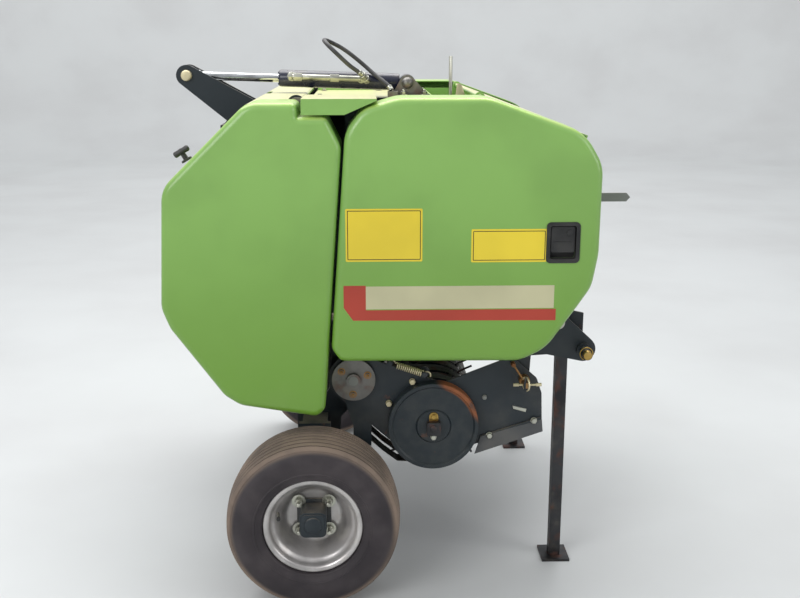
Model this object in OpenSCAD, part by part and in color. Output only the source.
// Mini round baler with ribbed chamber rollers, a lifting tailgate and pressed side covers.
// Millimetres. X points to the front (drawbar end), Y to the machine's left, Z up from the floor.
// Side views below are written as [x, z], measured from the chamber's middle line.

/* [Chamber] */
// Height of the bale chamber's centre above the floor
chamber_z = 790; // [770:5:820]
// Radius of the circle that the rollers stand on
chamber_r = 300; // [290:5:305]
// Distance of the chamber's centre behind the middle of the whole machine
chamber_back = 144; // [130:1:160]
// Outer face of each side plate, from the middle plane
plate_y = 361; // [355:1:370]
// Thickness of the side plates
plate_t = 6; // [5:1:8]
// Outer radius of a roller over its ribs
roller_r = 58; // [54:1:60]
// Ribs around each roller
roller_ribs = 8; // [6:1:12]

/* [Covers] */
// Outer face of the side covers, from the middle plane
cover_y = 535; // [525:5:545]
// Sheet thickness of the covers
sheet = 3; // [2:0.5:4]
// Radius of the pressed edge around each cover
press_r = 16; // [10:1:22]
// Gap between the front cover and the tailgate cover
split_gap = 6; // [5:1:8]

/* [Wheels] */
// Outer diameter of the tyres
tyre_d = 406; // [400:1:412]
// Width of the tyres
tyre_w = 165; // [155:1:170]
// Outer diameter of the rim's flange
rim_d = 230; // [226:1:234]
// Middle plane of each wheel, from the middle plane
wheel_y = 545; // [540:1:550]
// Position of the axle ahead of the chamber's centre
axle_x = -49; // [-60:1:-40]

/* [Pickup] */
// Radius over the tine tips
tine_r = 150; // [140:1:150]
// Tine bars on the reel
tine_bars = 4; // [3:1:5]
// Tines along each bar
tine_count = 12; // [8:1:12]
// Distance between two tines of a bar
tine_pitch = 62; // [58:1:62]
// Radius over the stripper bands
band_r = 112; // [108:1:114]

/* [Hitch] */
// Diameter of the lower hitch pins
hitch_pin_d = 22; // [20:1:25]
// Diameter of the upper hitch bore
mast_bore_d = 19; // [19:1:21]
// Height of the mast bore above the lower pins
mast_h = 460; // [440:5:480]

/* [Hidden] */

$fn = 48;
lime = [0.52, 0.80, 0.22];
teal = [0.10, 0.22, 0.24];
steel = [0.55, 0.56, 0.57];
dark = [0.12, 0.12, 0.13];
brass = [0.80, 0.62, 0.25];
rubber = [0.09, 0.09, 0.09];
silver = [0.76, 0.77, 0.78];
ribbed = [0.25, 0.27, 0.28];

plate_in = plate_y - plate_t;
shaft_r = 15;
// Radial play of a shaft in its bearing
play = 0.35;
roller_half = plate_y - 12;
sprocket_r = 42;
chain_in = 46;
chain_out = 55;
chain_a = plate_y + 8;
chain_b = plate_y + 21;
shaft_end = plate_y + 33;
lower_pin = [603, 561];
hinge = [-80, 1145];
arm_pin = [-384, 1199];
barrel_pin = [190, 1180];
reel_axis = [239, 378];
leg_x = 555;
leg_y = plate_y + 15;
leg_w = 28;
gear_axis = [470, 640];
// Half width of the twine box, outer faces of the links on the plates, inner rims of the covers
box_half = plate_in - 7;
hitch_y = plate_y + 45;
lever_y = plate_y + 35;
pickup_y = plate_y + 41;
door_rim_y = plate_y + 49;
tail_rim_y = plate_y + 31;

front_angles = [278.8, 336, 8, 40, 72];
tail_angles = [112, 146, 180, 214, 248];

// Point [x, z] on the roller circle at an angle
function on_circle(a) = [chamber_r * cos(a), chamber_z + chamber_r * sin(a)];
front_axes = [for (a = front_angles) on_circle(a)];
tail_axes = [for (a = tail_angles) on_circle(a)];

// The slanting line between the front frame and the tailgate
split_slope = 0.074;
function split_x(z) = -16 + (z - 460) * split_slope;

// Moves the chamber's middle line to its place in the machine
module machine() { translate([-chamber_back, 0, 0]) children(); }

// Draws its children on the side named: -1 is the machine's right, 1 its left
module on_side(s) { if (s > 0) children(); else mirror([0, 1, 0]) children(); }
module both_sides() { for (s = [-1, 1]) on_side(s) children(); }

// A bar along Y at [x, z] from y0 to y1
module bar(p, r, y0, y1) { translate([p[0], y1, p[1]]) rotate([90, 0, 0]) cylinder(h = y1 - y0, r = r); }

// A flat plate in the XZ plane from y0 to y1, its outline drawn by its children
module slab(y0, y1) { translate([0, y1, 0]) rotate([90, 0, 0]) linear_extrude(y1 - y0) children(); }

// A box from corner a to corner b
module block(a, b) { translate(a) cube(b - a); }

// Outline with each corner [x, z, r] rounded by an arc, moved inward by d
function unit(v) = v / norm(v);
function turn(v) = [-v[1], v[0]];
function rounded(c, d, steps = 4) = [
    for (i = [0 : len(c) - 1])
        let (n = len(c), p = [c[i][0], c[i][1]], q = c[(i + n - 1) % n], s = c[(i + 1) % n],
            u = unit(p - [q[0], q[1]]), v = unit([s[0], s[1]] - p),
            half = acos(min(1, max(-1, u * v))) / 2, r = max(c[i][2], 0.5),
            bend = (u[0] * v[1] - u[1] * v[0]) > 0 ? 1 : -1,
            m = p + unit(turn(u) + turn(v)) * bend * r / cos(half),
            from = atan2(-bend * turn(u)[1], -bend * turn(u)[0]))
        for (k = [0 : steps])
            let (a = from + bend * 2 * half * k / steps)
            m + (r - bend * d) * [cos(a), sin(a)]];

// A pressed sheet shell: flat face at y1, rounded edge, rim back to y0, open behind
module pressed(c, y0, y1) {
    arc = [for (k = [0 : 3]) 90 * k / 3];
    outer = concat([[0, y0]], [for (a = arc) [press_r * (1 - cos(a)), y1 - press_r + press_r * sin(a)]]);
    ri = press_r - sheet;
    inner = concat([for (a = arc) [sheet + ri * (1 - sin(a)), y1 - press_r + ri * cos(a)]], [[sheet, y0]]);
    rings = concat(outer, inner);
    pts = [for (g = rings) for (p = rounded(c, g[0])) [p[0], g[1], p[1]]];
    m = len(rounded(c, 0));
    gn = len(rings);
    no = len(outer);
    quads = [for (g = [0 : gn - 1]) if (g != no - 1) for (i = [0 : m - 1])
        [g * m + i, g * m + (i + 1) % m, ((g + 1) % gn) * m + (i + 1) % m, ((g + 1) % gn) * m + i]];
    cap_out = [for (i = [0 : m - 1]) (no - 1) * m + i];
    cap_in = [for (i = [m - 1 : -1 : 0]) no * m + i];
    polyhedron(points = pts, faces = concat(quads, [cap_out, cap_in]), convexity = 6);
}

// Side view of the front frame's side plate
module front_plate_shape() {
    polygon([[split_x(455) + 3, 455], [split_x(1070) + 3, 1070], [32, 1160], [160, 1160], [350, 1090],
        [470, 1000], [522, 860], [522, 660], [610, 640], [610, 540], [440, 530], [360, 590], [190, 575],
        [152, 548], [127, 527], [104, 500], [92, 450], [60, 428], [14, 380], [10, 330], [-95, 330],
        [-95, 395], [-30, 430]]);
}

// Side view of the tailgate's side plate
module tail_plate_shape() {
    difference() {
        union() {
            polygon([[split_x(455) - 3, 455], [-215, 470], [-330, 610], [-368, 790], [-340, 960],
                [-240, 1110], [-160, 1148], [-100, 1150], [-66, 1150], [-18, 1118],
                [split_x(1062) - 3, 1062]]);
            translate(hinge) circle(r = 21);
        }
        translate(hinge) circle(r = 10.5);
    }
}

module side_plate() {
    slab(plate_in, plate_y) difference() {
        front_plate_shape();
        for (p = front_axes) translate(p) circle(r = shaft_r + 2);
        translate(gear_axis) circle(r = shaft_r + play);
        // notch that the axle beam sits in
        translate([axle_x - axle_w / 2, 320]) square([axle_w, axle_top - 320]);
    }
    // latch post and the two arms that carry the door's hinge rod
    bar([508, 850], 8, plate_y, cover_y - 30);
    for (z = [650, 1000]) door_arm(z);
}

// The door turns about the middle of its rounded rear edge
door_axis_y = cover_y - press_r;
function door_axis_x(z) = split_x(z) + split_gap / 2 + press_r;

module door_arm(z) {
    difference() {
        union() {
            block([door_axis_x(z) + 5, plate_y, z - 4], [door_axis_x(z) + 21, door_axis_y, z + 4]);
            translate([door_axis_x(z), door_axis_y, z - 4]) cylinder(h = 8, r = 8);
        }
        translate([door_axis_x(z), door_axis_y, z]) rotate([0, atan(split_slope), 0])
            translate([0, 0, -15]) cylinder(h = 30, r = 5.5);
    }
}

module side_plates() { color(teal) machine() both_sides() side_plate(); }

module cross_beams() {
    color(teal) machine() {
        block([455, -plate_in, 535], [515, plate_in, 570]);
        block([180, -plate_in, 1090], [230, plate_in, 1140]);
        block([400, -plate_in, 700], [430, plate_in, 730]);
    }
}

// Axle beam, drop legs and the fixed stub axles
axle_w = 60;
axle_top = 390;
module axle() {
    color(teal) machine() {
        block([axle_x - axle_w / 2, -438, axle_top - 58], [axle_x + axle_w / 2, 438, axle_top]);
        both_sides() {
            slab(422, 438) hull() {
                translate([axle_x, axle_top - 29]) square([76, 58], center = true);
                translate([axle_x, tyre_d / 2]) circle(r = 34);
            }
            bar([axle_x, tyre_d / 2], 15, 422, 596);
        }
    }
}

// Lower hitch plates with their pins, and the sleeves of the parking legs
module hitch_arms() {
    color(teal) machine() both_sides() {
        slab(hitch_y - 12, hitch_y) difference() {
            hull() {
                translate(lower_pin) circle(r = 30);
                translate([455, 600]) circle(r = 38);
                translate([540, 628]) circle(r = 24);
            }
            translate([455, 600]) circle(r = 8);
        }
        block([425, plate_y, 545], [480, hitch_y - 12, 578]);
        slab(hitch_y - 16, hitch_y - 12) polygon([[440, 580], [480, 580], [474, 470], [446, 470]]);
        bar(lower_pin, hitch_pin_d / 2, hitch_y - 12, hitch_y + 56);
        bar(lower_pin, 17, hitch_y, hitch_y + 8);
        difference() {
            block([leg_x - 20, plate_y, 560], [leg_x + 20, hitch_y - 12, 625]);
            block([leg_x - leg_w / 2 - play, leg_y - leg_w / 2 - 1, 550],
                [leg_x + leg_w / 2 + play, leg_y + leg_w / 2 + 1, 640]);
        }
    }
}

// The mast stands on two feet beside the drive shaft's guard and bridges over it
module hitch_mast() {
    mast_z = lower_pin[1] + mast_h;
    color(teal) machine() {
        for (y = [-36, 26]) slab(y, y + 10) difference() {
            hull() {
                translate([618, mast_z]) circle(r = 26);
                translate([592, 764]) square([33, 2]);
            }
            translate([618, mast_z]) circle(d = mast_bore_d);
        }
        block([590, -100, 750], [625, 100, 765]);
        both_sides() slab(90, 100) polygon([[515, 535], [600, 535], [626, 740], [626, 765], [592, 765],
            [592, 740], [530, 600], [515, 585]]);
        block([515, -100, 535], [600, 100, 547]);
    }
}

// Bevel gearbox on the lower beam, with the cross shaft's tube to the left side
module gearbox() {
    color(ribbed) machine() {
        difference() {
            union() {
                block([415, -55, 585], [525, 55, 695]);
                block([400, -70, 570], [515, 70, 585]);
                translate([525, 0, 640]) rotate([0, 90, 0]) cylinder(h = 14, r = 42);
                bar(gear_axis, 38, 55, 70);
                bar(gear_axis, 26, 70, 343);
            }
            translate([500, 0, 640]) rotate([0, 90, 0]) cylinder(h = 60, r = 21 + play);
        }
        for (z = [600, 620, 640, 660, 680]) block([405, -50, z - 3], [415, 50, z + 3]);
    }
}

// Cross shaft from the gearbox, with the sprocket that drives the rollers
module cross_shaft() {
    color(ribbed) machine() {
        bar(gear_axis, shaft_r, 348, shaft_end - 5);
        sprocket(gear_axis, chain_b);
    }
}

module pto_shaft() {
    color(silver) machine() {
        translate([505, 0, 640]) rotate([0, 90, 0]) cylinder(h = 45, r = 21);
        difference() {
            translate([550, 0, 640]) rotate([0, 90, 0]) cylinder(h = 76, r = 17.45);
            for (a = [0 : 60 : 300]) translate([0, 0, 640]) rotate([a, 0, 0])
                block([580, -4.3, 14.9], [640, 4.3, 25]);
            translate([600, 0, 640]) rotate([0, 90, 0]) rotate_extrude()
                translate([18.5, 0]) circle(r = 3.5);
        }
    }
}

module pto_guard() {
    color(dark) machine() translate([539, 0, 640]) rotate([0, 90, 0]) rotate_extrude()
        polygon([[40, 0], [66, 0], [82, 100], [78, 100], [62, 4], [40, 4]]);
}

// Top plate: a low middle sheet with a raised wing on each side that covers the gap to the side covers
wing_z = 1166;
wing_y = cover_y - 5;
module top_plate() {
    color(lime) machine() difference() {
        union() {
            block([-60, -wall_y - 4, 1140], [244, wall_y + 4, 1144]);
            block([-60, -wall_y - 4, 1126], [-56, wall_y + 4, 1141]);
            both_sides() {
                block([-60, wall_y, 1118], [42, wall_y + 4, 1141]);
                block([-60, wall_y, 1140], [104, wall_y + 4, wing_z]);
                block([-60, wall_y, wing_z - 4], [104, wing_y, wing_z]);
                slab(wing_y - 3, wing_y) polygon([[-60, 1132], [34, 1132], [104, 1162], [104, wing_z],
                    [-60, wing_z]]);
            }
        }
        for (x = [20, 60]) translate([x, 0, 1130]) cylinder(h = 20, r = 8);
    }
}
wall_y = plate_in - 10;

// Open twine box between the side covers, with a shelf over the chamber
box_shape = [[386, 752], [588, 752], [588, 1056], [566, 1064], [356, 1150], [250, 1150], [250, 1096],
    [330, 1056], [386, 950]];
module twine_box() {
    color(lime) machine() {
        difference() {
            slab(-box_half, box_half) polygon(box_shape);
            slab(-box_half + sheet, box_half - sheet) polygon([[389, 755], [585, 755], [585, 1080],
                [356, 1170], [253, 1170], [253, 1099], [333, 1058], [389, 951]]);
        }
        block([352, -box_half, 1144], [360, box_half, 1150]);
        for (y = [-318, 308]) difference() {
            slab(y, y + 10) hull() {
                translate([350, 1158]) circle(r = 12);
                translate([346, 1130]) square([16, 8]);
            }
            bar([350, 1158], 7, y - 1, y + 11);
        }
        translate([298, -100, 1074]) cylinder(h = 140, r = 4);
        for (y = [-115, 115]) block([389, y - 1.5, 754], [585, y + 1.5, 960]);
        both_sides() {
            block([400, box_half - 1, 1010], [440, plate_in, 1050]);
            block([420, box_half - 1, 770], [500, plate_in, 810]);
        }
    }
}

module twine_lid() {
    slope = atan((1150 - 1072) / (566 - 356));
    color(lime) machine() {
        bar([350, 1158], 6, -324, 324);
        translate([350, 0, 1158]) rotate([0, slope, 0]) {
            block([0, -300, 3], [16, 300, 6]);
            block([16, -box_half + 2, 3], [270, box_half - 2, 6]);
            block([267, -box_half + 2, -12], [270, box_half - 2, 6]);
        }
    }
}

// Triangular cheeks with the barrel's pin
module cylinder_bracket() {
    color(steel) machine() {
        for (s = [-1, 1]) translate([0, s * 34, 0]) slab(-4, 4) hull() {
            translate(barrel_pin) circle(r = 20);
            translate([150, 1144]) square([96, 4]);
        }
        bar(barrel_pin, 12, -38, 38);
        for (s = [-1, 1]) translate([barrel_pin[0], s * 41, barrel_pin[1]]) sphere(r = 15);
        block([150, -60, 1144], [244, 60, 1150]);
        block([138, -76, 1144], [164, -50, 1160]);
    }
}

cyl_len = norm(arm_pin - barrel_pin);
cyl_tilt = atan2(arm_pin[1] - barrel_pin[1], barrel_pin[0] - arm_pin[0]);

// Draws along the cylinder's own axis: +Z runs from the barrel's pin to the rod's eye
module along_cylinder() {
    translate([barrel_pin[0], 0, barrel_pin[1]]) rotate([0, cyl_tilt - 90, 0]) children();
}

module cylinder_barrel() {
    color(teal) machine() along_cylinder() {
        difference() {
            union() {
                rotate([90, 0, 0]) translate([0, 0, -24]) cylinder(h = 48, r = 21);
                translate([0, 0, 18]) cylinder(h = 318, r = 23);
                translate([0, 0, 316]) cylinder(h = 20, r = 27);
            }
            rotate([90, 0, 0]) translate([0, 0, -30]) cylinder(h = 60, r = 12.6);
            translate([0, 0, 50]) cylinder(h = 272, r = 18);
            translate([0, 0, 310]) cylinder(h = 30, r = 12.7);
        }
        // oil tube and its two fittings, on the right of the barrel
        difference() {
            union() {
                translate([6, -34, 108]) cylinder(h = 208, r = 8);
                for (z = [124, 304]) translate([6, -34, z]) rotate([-90, 0, 0]) cylinder(h = 20, r = 11);
                translate([6, -34, 108.3]) rotate([45, 48, 0]) cylinder(h = 22, r = 10);
            }
            translate([0, 0, 50]) cylinder(h = 272, r = 18);
        }
    }
}

module cylinder_rod() {
    color(silver) machine() along_cylinder() {
        translate([0, 0, 195]) cylinder(h = 24, r = 17.4);
        translate([0, 0, 195]) cylinder(h = cyl_len - 215, r = 12);
        difference() {
            translate([0, 0, cyl_len]) rotate([90, 0, 0]) translate([0, 0, -13]) cylinder(h = 26, r = 25);
            translate([0, 0, cyl_len]) rotate([90, 0, 0]) for (s = [-1, 1])
                translate([0, 0, s > 0 ? 11 : -14]) cylinder(h = 3, r = 13);
        }
    }
}

// The hose leaves the fitting, loops once above the barrel and comes down to the block at the bracket's foot
hose_route = [[72, -49.8, 1202.2], [57, -63, 1213], [41, -76, 1225], [25, -87, 1239], [8, -95, 1256],
    [-7, -96, 1271], [-17, -88, 1281], [-22, -73, 1287], [-22, -56, 1288.5], [-18, -39, 1287.5],
    [-9, -24, 1284], [4, -13, 1277], [21, -8, 1267], [46, -8, 1250], [77, -12, 1225], [100, -23, 1205],
    [122, -40, 1187], [138, -53, 1175.5], [146, -60, 1169.5], [148, -61, 1162.2]];
hose_r = 5.5;
// Square to the plane that the loop lies in, so it never points along the hose
loop_normal = [0.75, 0, 0.66];

// A round tube swept through points, one ring of its surface at each
module tube_through(pts, r, sides = 12) {
    n = len(pts);
    rings = [for (i = [0 : n - 1])
        let (d = unit(pts[min(i + 1, n - 1)] - pts[max(i - 1, 0)]), u = unit(cross(loop_normal, d)),
            v = cross(d, u))
        for (k = [0 : sides - 1]) pts[i] + r * (cos(k * 360 / sides) * u + sin(k * 360 / sides) * v)];
    walls = [for (i = [0 : n - 2]) for (k = [0 : sides - 1])
        let (a = i * sides + k, b = i * sides + (k + 1) % sides)
        for (face = [[a, a + sides, b + sides], [a, b + sides, b]]) face];
    ends = [[for (k = [0 : sides - 1]) k], [for (k = [1 : sides]) n * sides - k]];
    polyhedron(points = rings, faces = concat(walls, ends), convexity = 4);
}
module hydraulic_hoses() {
    color(dark) machine() tube_through(hose_route, hose_r);
}

// Twine trip levers: one each side, at different heights
module trip_levers() {
    // side, height of the lever, position of its pivot
    color(silver) machine() for (l = [[-1, 931, 470], [1, 800, 500]]) on_side(l[0]) {
        slab(lever_y, lever_y + 6) {
            polygon([[l[2] - 10, l[1] - 10], [690, l[1] - 10], [699, l[1]], [690, l[1] + 10],
                [l[2] - 10, l[1] + 10]]);
            polygon([[490, l[1] - 70], [510, l[1] - 70], [620, l[1] - 9], [600, l[1] - 9]]);
        }
        bar([l[2], l[1]], 9, plate_y, lever_y + 6);
        bar([500, l[1] - 60], 9, plate_y, lever_y + 6);
    }
}

// A toothed chain wheel on its axis at [x, z]
sprocket_teeth = 15;
tooth = 360 / sprocket_teeth;
module sprocket(p, y) {
    slab(y, y + 6) translate(p) polygon([for (i = [0 : sprocket_teeth - 1])
        for (k = [[0.1, 0], [0.3, 0], [0.5, 6], [0.9, 6]])
            (sprocket_r - k[1]) * [cos((i + k[0]) * tooth), sin((i + k[0]) * tooth)]]);
}

// One ribbed roller on its axis at [x, z], with a chain wheel at each y of the list
module roller(p, sprockets) {
    machine() {
        bar(p, roller_r - 6, -roller_half, roller_half);
        for (k = [0 : roller_ribs - 1]) translate([p[0], 0, p[1]]) rotate([0, k * 360 / roller_ribs, 0])
            block([roller_r - 10, -roller_half, -4], [roller_r, roller_half, 4]);
        bar(p, shaft_r, -plate_y - 17, shaft_end);
        for (y = sprockets) sprocket(p, y);
    }
}
module roller_front_1() { color(ribbed) roller(front_axes[0], []); }
module roller_front_2() { color(ribbed) roller(front_axes[1], [chain_a, chain_b]); }
module roller_front_3() { color(ribbed) roller(front_axes[2], [chain_a, chain_b]); }
module roller_front_4() { color(ribbed) roller(front_axes[3], [chain_a, chain_b]); }
module roller_front_5() { color(ribbed) roller(front_axes[4], [chain_a]); }
module roller_tail_1() { color(ribbed) roller(tail_axes[0], [chain_a]); }
module roller_tail_2() { color(ribbed) roller(tail_axes[1], [chain_a, chain_b]); }
module roller_tail_3() { color(ribbed) roller(tail_axes[2], [chain_a, chain_b]); }
module roller_tail_4() { color(ribbed) roller(tail_axes[3], [chain_a, chain_b]); }
module roller_tail_5() { color(ribbed) roller(tail_axes[4], [chain_b]); }

// Flange bearings of the front rollers, the large lower housings that carry the pickup,
// and the lugs with the tailgate's hinge pins, held off the plates by a spacer
module roller_bearings() {
    color(steel) machine() both_sides() {
        for (i = [1 : 4]) flange_bearing(front_axes[i]);
        difference() {
            union() {
                bar(front_axes[0], 52, plate_y, pickup_y - 8);
                bar(front_axes[0], 40, pickup_y - 8, pickup_y + 12);
                bar(front_axes[0], 52.5, pickup_y + 12, pickup_y + 19);
                bar(front_axes[0], 17, pickup_y + 19, pickup_y + 28);
                for (a = [20, 143, 267]) bar(front_axes[0] + 36 * [cos(a), sin(a)], 6, pickup_y + 19,
                    pickup_y + 25);
            }
            bar(front_axes[0], shaft_r + play, plate_y - 1, shaft_end + 4);
        }
        slab(plate_y + 5, plate_y + 13) union() {
            translate(hinge) circle(r = 16);
            polygon([[hinge[0], hinge[1] + 16], [hinge[0], hinge[1] - 16], [46, 1128], [46, 1154]]);
        }
        block([34, plate_y, 1128], [46, plate_y + 5.5, 1152]);
        bar(hinge, 10, plate_in - 5, plate_y + 19);
    }
}
module flange_bearing(p) {
    difference() {
        bar(p, 34, plate_y, plate_y + 4);
        bar(p, shaft_r + play, plate_y - 1, plate_y + 5);
    }
}

// A chain as one closed loop around two sprockets at p and q
module chain_loop(p, q, y) {
    a = atan2(q[1] - p[1], q[0] - p[0]);
    l = norm(q - p);
    translate([p[0], 0, p[1]]) rotate([0, -a, 0]) {
        // guide shoe that the chain slides on, held off the side plate
        block([l / 2 - 14, plate_y, -chain_out - 8], [l / 2 + 14, y + 6, -chain_out]);
        for (s = [-1, 1])
            block([0, y, s > 0 ? chain_in : -chain_out], [l, y + 6, s > 0 ? chain_out : -chain_in]);
        for (e = [[0, -1], [l, 1]]) difference() {
            bar([e[0], 0], chain_out, y, y + 6);
            bar([e[0], 0], chain_in, y - 1, y + 7);
            block([e[1] > 0 ? -l : 0, y - 1, -60], [e[1] > 0 ? l : l * 2, y + 7, 60]);
        }
    }
}
module front_chains() {
    color(ribbed) machine() {
        chain_loop(gear_axis, front_axes[1], chain_b);
        chain_loop(front_axes[1], front_axes[2], chain_a);
        chain_loop(front_axes[2], front_axes[3], chain_b);
        chain_loop(front_axes[3], front_axes[4], chain_a);
    }
}
module tail_chains() {
    color(ribbed) machine() for (i = [0 : 3])
        chain_loop(tail_axes[i], tail_axes[i + 1], i % 2 == 0 ? chain_a : chain_b);
}

pivot = front_axes[0];
// Side plates of the pickup: a drop-shaped arm about the lower roller, and the front shield
module pickup_sides() {
    color(teal) machine() both_sides() {
        slab(pickup_y, pickup_y + 6) difference() {
            union() {
                hull() { translate(pivot) circle(r = 60); translate(reel_axis) circle(r = 104); }
                translate([216, 508]) circle(r = 14);
                // ear that the rear beam is welded to
                polygon([[pivot[0] - 40, pivot[1]], [44, 372], [44, 319], [88, 319], [88, 372],
                    [140, 420]]);
                polygon(rounded([[239, 470, 1], [430, 545, 14], [492, 489, 10], [505, 451, 10], [508, 374, 10],
                    [362, 325, 8], [239, 290, 1]], 0));
            }
            translate(pivot) circle(r = 40 + play);
            translate(reel_axis) circle(r = 20 + play);
        }
        bar([216, 508], 6, pickup_y + 5, pickup_y + 31);
        difference() {
            bar(reel_axis, 109, pickup_y + 6, 438);
            bar(reel_axis, 100, 433, 440);
            bar(reel_axis, 105, pickup_y + 5, 430);
        }
        // the bearing's flange, its square nut and two bolts
        bar(reel_axis, 40, 430, 436);
        block([reel_axis[0] - 16, 435, reel_axis[1] - 18], [reel_axis[0] + 16, 452, reel_axis[1] + 14]);
        for (z = [-27, 26]) bar(reel_axis + [0, z], 6, 435, 442);
        slab(pickup_y + 6, pickup_y + 12) polygon([[362, 325], [508, 374], [504, 390], [356, 342]]);
        // bolts through the plates
        for (p = [[188, 485], [131, 430], [378, 345], [487, 382]]) bar(p, 6, pickup_y + 5, pickup_y + 17);
        // hitch pin with the ring of its lynch pin
        bar([460, 487], 12, pickup_y + 6, pickup_y + 22);
        bar([460, 487], 8, pickup_y + 22, pickup_y + 56);
        translate([460, pickup_y + 44, 487]) rotate([0, 90, 20]) rotate_extrude($fn = 24)
            translate([16, 0]) circle(r = 2.5, $fn = 8);
    }
}

// Stripper bands around the reel, with the beam behind and the press bar in front
module pickup_bands() {
    color(silver) machine() {
        for (i = [0 : tine_count]) translate([0, (i - tine_count / 2) * tine_pitch, 0]) band();
    }
    color(teal) machine() {
        block([50, -pickup_y, 325], [82, pickup_y, 365]);
        bar([425, 505], 10, -pickup_y, pickup_y);
    }
}
module band() {
    translate([0, 20, 0]) rotate([90, 0, 0]) linear_extrude(40) union() {
        difference() {
            translate(reel_axis) circle(r = band_r);
            translate(reel_axis) circle(r = band_r - 3);
            translate([reel_axis[0] - 200, 0]) square([200, 800]);
        }
        polygon([[239, reel_axis[1] + band_r], [160, reel_axis[1] + band_r + 4],
            [130, reel_axis[1] + band_r + 14], [130, reel_axis[1] + band_r + 11],
            [160, reel_axis[1] + band_r + 1], [239, reel_axis[1] + band_r - 3]]);
        polygon([[239, reel_axis[1] - band_r], [150, reel_axis[1] - band_r + 4], [82, 330], [82, 334],
            [150, reel_axis[1] - band_r + 8], [239, reel_axis[1] - band_r + 3]]);
    }
}

module pickup_reel() {
    color(dark) machine() {
        bar(reel_axis, 20, -426, 426);
        for (y = [-380, -190, 0, 190, 380]) bar(reel_axis, 88, y - 3, y + 3);
        for (k = [0 : tine_bars - 1]) translate([reel_axis[0], 0, reel_axis[1]])
            rotate([0, 45 + k * 360 / tine_bars, 0]) {
                translate([78, 0, 0]) rotate([90, 0, 0]) translate([0, 0, -384]) cylinder(h = 768, r = 10);
                for (i = [0 : tine_count - 1])
                    translate([78, (i - (tine_count - 1) / 2) * tine_pitch, 0]) tine();
            }
    }
}

// A spring tine: its coil around the bar, then the leg that leaves it at the back and bends forward
bend_at = 118;
module tine() {
    rotate([90, 0, 0]) translate([0, 0, -9]) cylinder(h = 18, r = 14, $fn = 16);
    for (leg = [[[0, 11], [bend_at - 78, 9]], [[bend_at - 78, 9], [tine_r - 79, -3]]]) {
        d = leg[1] - leg[0];
        translate([leg[0][0], 0, leg[0][1]]) rotate([0, atan2(d[0], d[1]), 0])
            cylinder(h = norm(d) + 0.6, r = 3, $fn = 8);
    }
}

// Extension springs that carry the pickup's weight, one each side
spring_a = [133, 538];
spring_b = [216, 508];
spring_y = pickup_y + 24;
module pickup_springs() {
    l = norm(spring_b - spring_a);
    a = atan2(spring_b[1] - spring_a[1], spring_b[0] - spring_a[0]);
    color(silver) machine() both_sides() {
        translate([spring_a[0], spring_y, spring_a[1]]) rotate([0, -a, 0]) {
            for (i = [0 : 12]) translate([14 + i * 4.4, 0, 0]) rotate([0, 90, 0]) rotate_extrude($fn = 20)
                translate([6.4, 0]) circle(r = 2, $fn = 8);
            rotate([0, 90, 0]) cylinder(h = l - 16, r = 5.5);
        }
        bar(spring_a, 6.5, plate_y, spring_y + 7);
    }
}

module parking_leg() {
    block([leg_x - leg_w / 2, leg_y - leg_w / 2, 6], [leg_x + leg_w / 2, leg_y + leg_w / 2, 660]);
    block([leg_x - 35, leg_y - 40, 0], [leg_x + 35, leg_y + 40, 6]);
}
module parking_leg_right() { color(dark) machine() on_side(-1) parking_leg(); }
module parking_leg_left() { color(dark) machine() on_side(1) parking_leg(); }

// Front side cover: a pressed door that turns on a rod along its rear edge
door_corners = [[split_x(604) + 3, 604, 30], [split_x(604) + 24, 574, 22], [430, 571, 90], [490, 600, 110],
    [560, 700, 110], [590, 745, 80], [603, 820, 160], [604, 1020, 90], [560, 1093, 110], [348, 1168, 120],
    [150, 1168, 120], [72, 1145, 70], [split_x(1095) + 3, 1095, 80]];
module door(s) {
    color(lime) machine() on_side(s) {
        difference() {
            pressed(door_corners, door_rim_y, cover_y);
            // the rear edge has no rim, so that the hinge arms reach the rod
            slab(door_rim_y - 1, door_axis_y) polygon([[-60, 612], [split_x(612) + 7, 612],
                [split_x(1083) + 7, 1083], [-60, 1083]]);
            // opening of the latch cup
            block([491, cover_y - sheet - 1, 813], [547, cover_y + 1, 886]);
        }
        // hinge rod in the rounded rear edge, and the three carriers that hold it
        translate([door_axis_x(622), door_axis_y, 622]) rotate([0, atan(split_slope), 0])
            cylinder(h = 440, r = 5);
        for (z = [700, 825, 950]) block([door_axis_x(z) - 4, door_axis_y, z - 12],
            [door_axis_x(z) + 4, cover_y - sheet + 1, z + 12]);
    }
    // recessed cup of the latch with its paddle
    color(dark) machine() on_side(s) {
        difference() {
            block([485, cover_y - 22, 807], [553, cover_y - sheet, 892]);
            block([491, cover_y - 18, 813], [547, cover_y, 886]);
        }
        block([494, cover_y - 18.5, 832], [544, cover_y - 3, 883]);
    }
}
module door_right() { door(-1); }
module door_left() { door(1); }

// Tailgate: side plates, cross tubes, hinge lugs and the arm that the cylinder pulls
module tailgate_frame() {
    color(teal) machine() {
        both_sides() {
            slab(plate_in, plate_y) difference() {
                tail_plate_shape();
                for (p = tail_axes) translate(p) circle(r = shaft_r + 2);
            }
            for (p = tail_axes) flange_bearing(p);
        }
        for (p = [[-240, 1080], [-345, 690], [-195, 478]])
            block([p[0] - 17, -plate_in, p[1] - 17], [p[0] + 17, plate_in, p[1] + 17]);
        for (y = [-29, 19]) slab(y, y + 10) hull() {
            translate(arm_pin) circle(r = 27);
            polygon([[-258, 1062], [-224, 1062], [-177, 1101], [-177, 1118]]);
        }
        for (y = [-32, 29]) bar(arm_pin, 14, y, y + 3);
    }
}

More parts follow.
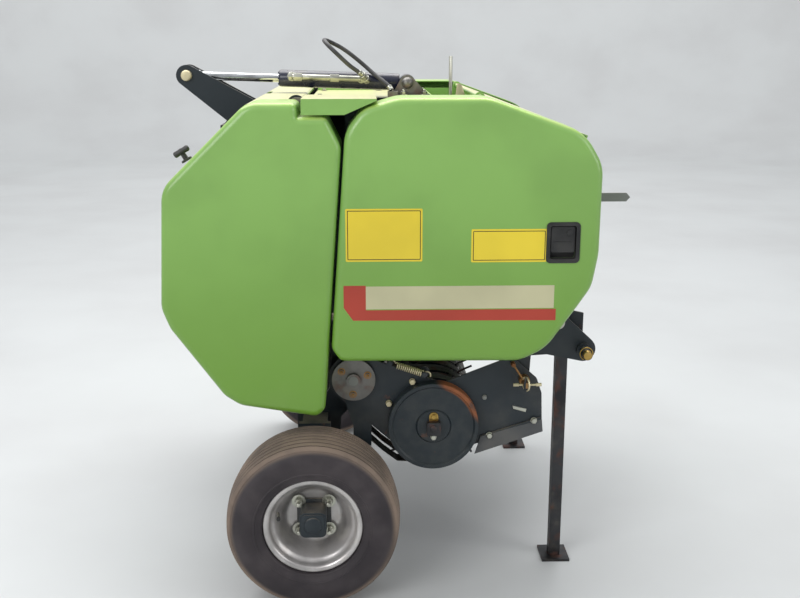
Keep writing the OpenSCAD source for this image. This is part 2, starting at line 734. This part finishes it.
tail_corners = [[split_x(460) - 3, 460, 20], [-36, 440, 24], [-214, 470, 60], [-250, 494, 60],
    [-366, 655, 70], [-384, 702, 70], [-369, 972, 70], [-178, 1158, 60], [-68, 1158, 17], [-68, 1127, 2],
    [-6, 1127, 17], [split_x(1064) - 3, 1064, 40]];
module tail_cover() {
    pressed([for (i = [len(tail_corners) - 1 : -1 : 0]) tail_corners[i]], tail_rim_y, cover_y);
    for (p = [[-160, 1118], [-332, 930], [-200, 488]]) bar(p, 8, plate_y, cover_y - 1);
    // T handle on the upper rear slope
    translate([-314, 480, 1028]) rotate([0, -45, 0]) {
        translate([0, 0, -12]) cylinder(h = 36, r = 6);
        cylinder(h = 6, r = 12);
        translate([-19, 0, 24]) rotate([0, 90, 0]) cylinder(h = 38, r = 7);
    }
}
module tail_cover_right() { color(lime) machine() on_side(-1) tail_cover(); }
module tail_cover_left() { color(lime) machine() on_side(1) tail_cover(); }

// The bead seat that tyre and rim share: its radius and half its width
seat_r = rim_d / 2 - 9;
seat_half = 60;

// Tyre section around its axle: bead, side walls and shoulders
module tyre(s) {
    r = tyre_d / 2;
    w = tyre_w / 2;
    half = [[seat_r, seat_half], [rim_d / 2 + 1, seat_half], [rim_d / 2 + 1, seat_half + 12],
        [rim_d / 2 + 8, w - 4], [150, w], [178, w - 3], [196, w - 14], [r, w - 26]];
    color(rubber) machine() translate([axle_x, s * wheel_y, r]) rotate([90, 0, 0]) rotate_extrude($fn = 64)
        polygon(concat([for (p = half) p], [for (i = [len(half) - 1 : -1 : 0]) [half[i][0], -half[i][1]]]));
}
module tyre_right() { tyre(-1); }
module tyre_left() { tyre(1); }

// Deep rim with its stepped dish and its hub, whose bore runs on the stub axle
module rim(s) {
    // radius and distance from the wheel's middle plane, once around the section
    section = [[16, -65], [30, -65], [30, -13], [70, -13], [seat_r - 18, 2], [seat_r - 14, 34], [seat_r - 5, 39],
        [seat_r - 5, -seat_half - 6], [rim_d / 2, -seat_half - 6], [rim_d / 2, -seat_half], [seat_r, -seat_half],
        [seat_r, seat_half], [rim_d / 2, seat_half], [rim_d / 2, seat_half + 6], [seat_r - 4, seat_half + 6],
        [seat_r - 7, 46], [seat_r - 17, 41], [seat_r - 21, 10], [67, -7], [30, -7], [30, 27], [16, 27]];
    color(silver) machine() translate([axle_x, 0, tyre_d / 2]) on_side(s) rotate([-90, 0, 0])
        translate([0, 0, wheel_y]) {
            rotate_extrude() polygon(section);
            difference() {
                translate([0, 0, -8]) linear_extrude(70) polygon(rounded(hub_corners, 0));
                translate([0, 0, -9]) cylinder(h = 37, r = 16);
                translate([0, 0, 27]) cylinder(h = 27, r = 20);
            }
            for (a = [45 : 90 : 315]) rotate(a) {
                translate([50, 0, -8]) cylinder(h = 13, r = 9, $fn = 6);
                translate([50, 0, -8]) cylinder(h = 30, r = 5);
            }
        }
}
hub_corners = [[-31, -31, 12], [31, -31, 12], [31, 31, 12], [-31, 31, 12]];
module rim_right() { rim(-1); }
module rim_left() { rim(1); }

side_plates();
cross_beams();
axle();
hitch_arms();
hitch_mast();
gearbox();
cross_shaft();
pto_shaft();
pto_guard();
top_plate();
twine_box();
twine_lid();
cylinder_bracket();
cylinder_barrel();
cylinder_rod();
hydraulic_hoses();
trip_levers();
roller_bearings();
roller_front_1();
roller_front_2();
roller_front_3();
roller_front_4();
roller_front_5();
roller_tail_1();
roller_tail_2();
roller_tail_3();
roller_tail_4();
roller_tail_5();
front_chains();
tail_chains();
pickup_sides();
pickup_bands();
pickup_reel();
pickup_springs();
parking_leg_right();
parking_leg_left();
door_right();
door_left();
tailgate_frame();
tail_cover_right();
tail_cover_left();
tyre_right();
tyre_left();
rim_right();
rim_left();
